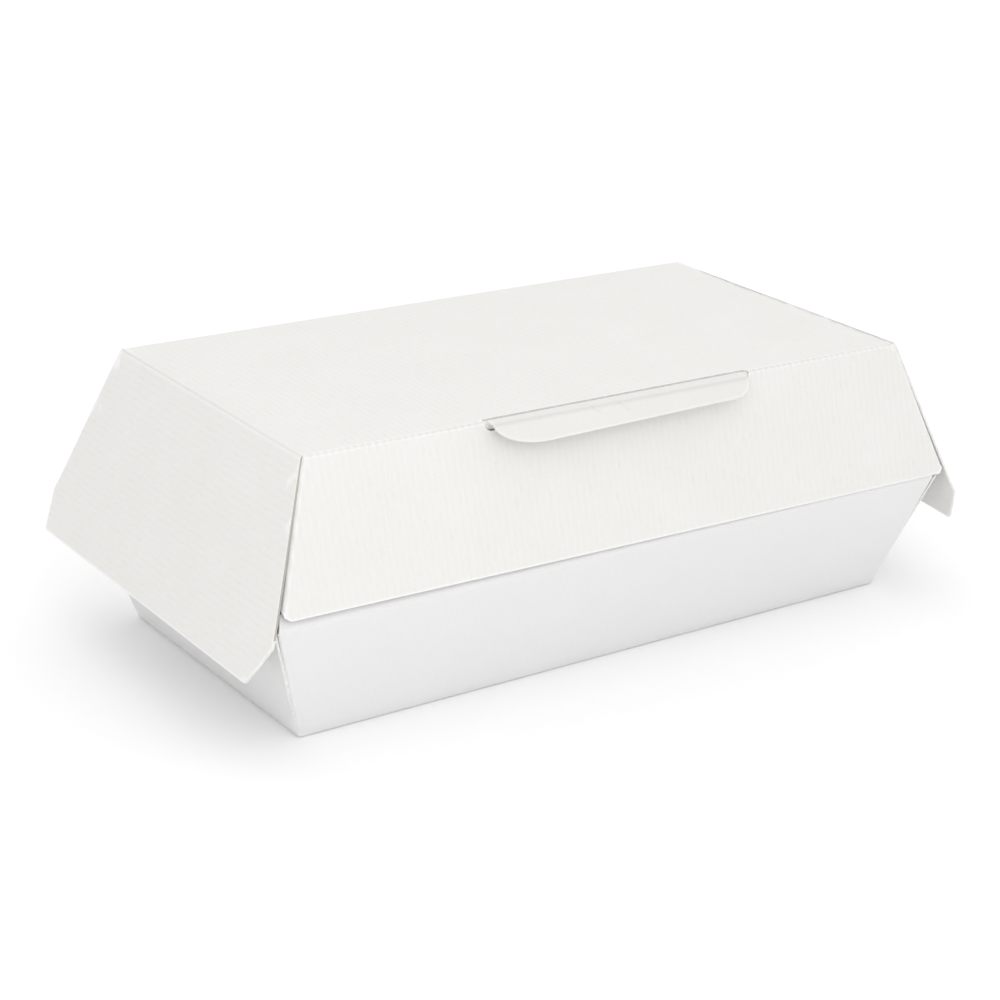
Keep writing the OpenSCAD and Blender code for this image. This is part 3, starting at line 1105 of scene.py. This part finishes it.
def makeHingeStrip():
    crease = Vector((0, box["rim"][1], box["rim"][2]))
    down = Vector((0, -math.sin(trayLean), -math.cos(trayLean)))
    up = Vector((0, -math.sin(backLean), math.cos(backLean)))
    low = crease + down * backShort
    high = crease + up * backShort
    path = [low + down * hinge["overlap"], low]
    for i in range(1, hinge["steps"]):
        share = i / hinge["steps"]
        path.append(low.lerp(crease, share).lerp(crease.lerp(high, share), share))
    path += [high, high + up * hinge["overlap"]]
    rows = [[point(sx * hinge["half"], place.y, place.z) for sx in (-1, 1)] for place in path]
    sheet = startSheet("hingeStrip", [rows[0][0], rows[0][1], rows[1][1], rows[1][0]])
    for below, above in zip(rows[1:], rows[2:]):
        foldOut(sheet, *below, *above)
    return sheet, low * mm, high * mm


def runsAcross(edge):
    return abs(edge.verts[0].co.x - edge.verts[1].co.x) > touch


hingeStrip, stripLow, stripHigh = makeHingeStrip()
stripLines = flatLines(hingeStrip, runsAcross)
stripCuts = flatLines(hingeStrip, lambda edge: isCut(edge) and not runsAcross(edge))
gridCuts(hingeStrip, card["cell"])
bpy.ops.object.mode_set(mode="OBJECT")
giveThickness(hingeStrip, trayFace, stripLines, stripCuts, hinge["thickness"], hinge["outer"])
print("hinge strip made")

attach(traySheet, "tray")
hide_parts("base", "lock_tongue")
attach(lidSheet, "cover")
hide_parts("lid")
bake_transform(hingeStrip)


# Camera, floor and light, with lengths in metres but the lens and sensor in millimetres

view = {
    "azimuth": -32.17,
    "elevation": 20.06,
    "distance": 0.8246,
    "aimRight": -0.00418,
    "aimUp": 0.03388,
    "lens": 87.57,
    "sensor": 36,
    "clipEnd": 20,
}


def makeCamera():
    deselectAll()
    az = math.radians(view["azimuth"])
    el = math.radians(view["elevation"])
    back = Vector((math.sin(az) * math.cos(el), -math.cos(az) * math.cos(el), math.sin(el)))
    right = Vector((math.cos(az), math.sin(az), 0))
    up = back.cross(right)
    place = right * view["aimRight"] + up * view["aimUp"] + back * view["distance"]
    bpy.ops.object.camera_add(location=place, rotation=(math.pi / 2 - el, 0, az))
    camera = bpy.context.object
    camera.data.lens = view["lens"]
    camera.data.sensor_width = view["sensor"]
    camera.data.clip_end = view["clipEnd"]
    bpy.context.scene.camera = camera


studio = {
    "dome": (1.02, 0.12, 0.06),  # strength, and how much it grows to the right and up
    "keyPower": 0.20,
    "keyPlace": (-0.22, -0.38, 0.30),
    "keySize": 0.3,
    "floorSize": 8,
    "floorColour": (0.98, 0.98, 0.98, 1),
    "floorRoughness": 0.9,
}


def makeStudio():
    deselectAll()
    bpy.ops.mesh.primitive_plane_add(size=studio["floorSize"])
    floor = bpy.context.object
    floor.name = "floor"
    finish = bpy.data.materials.new("paleFloor")
    finish.use_nodes = True
    shader = finish.node_tree.nodes["Principled BSDF"]
    shader.inputs["Base Color"].default_value = studio["floorColour"]
    shader.inputs["Roughness"].default_value = studio["floorRoughness"]
    floor.data.materials.append(finish)
    world = bpy.data.worlds.new("studio")
    bpy.context.scene.world = world
    world.use_nodes = True
    tree = world.node_tree
    way = tree.nodes.new("ShaderNodeTexCoord")
    across = tree.nodes.new("ShaderNodeSeparateXYZ")
    tree.links.new(way.outputs["Generated"], across.inputs[0])
    level, right, up = studio["dome"]
    strength = addMath(tree, "MULTIPLY_ADD", across.outputs[0], right, level)
    strength = addMath(tree, "MULTIPLY_ADD", across.outputs[2], up, strength)
    background = tree.nodes["Background"]
    background.inputs["Color"].default_value = (1, 1, 1, 1)
    tree.links.new(strength, background.inputs["Strength"])
    deselectAll()
    place = Vector(studio["keyPlace"])
    bpy.ops.object.light_add(type="AREA", location=place)
    key = bpy.context.object
    key.name = "keyLight"
    key.data.energy = studio["keyPower"]
    key.data.size = studio["keySize"]
    key.rotation_euler = (-place).to_track_quat("-Z", "Y").to_euler()
    bpy.context.scene.view_settings.view_transform = "Standard"


makeCamera()
makeStudio()
deselectAll()
print("camera and studio made")
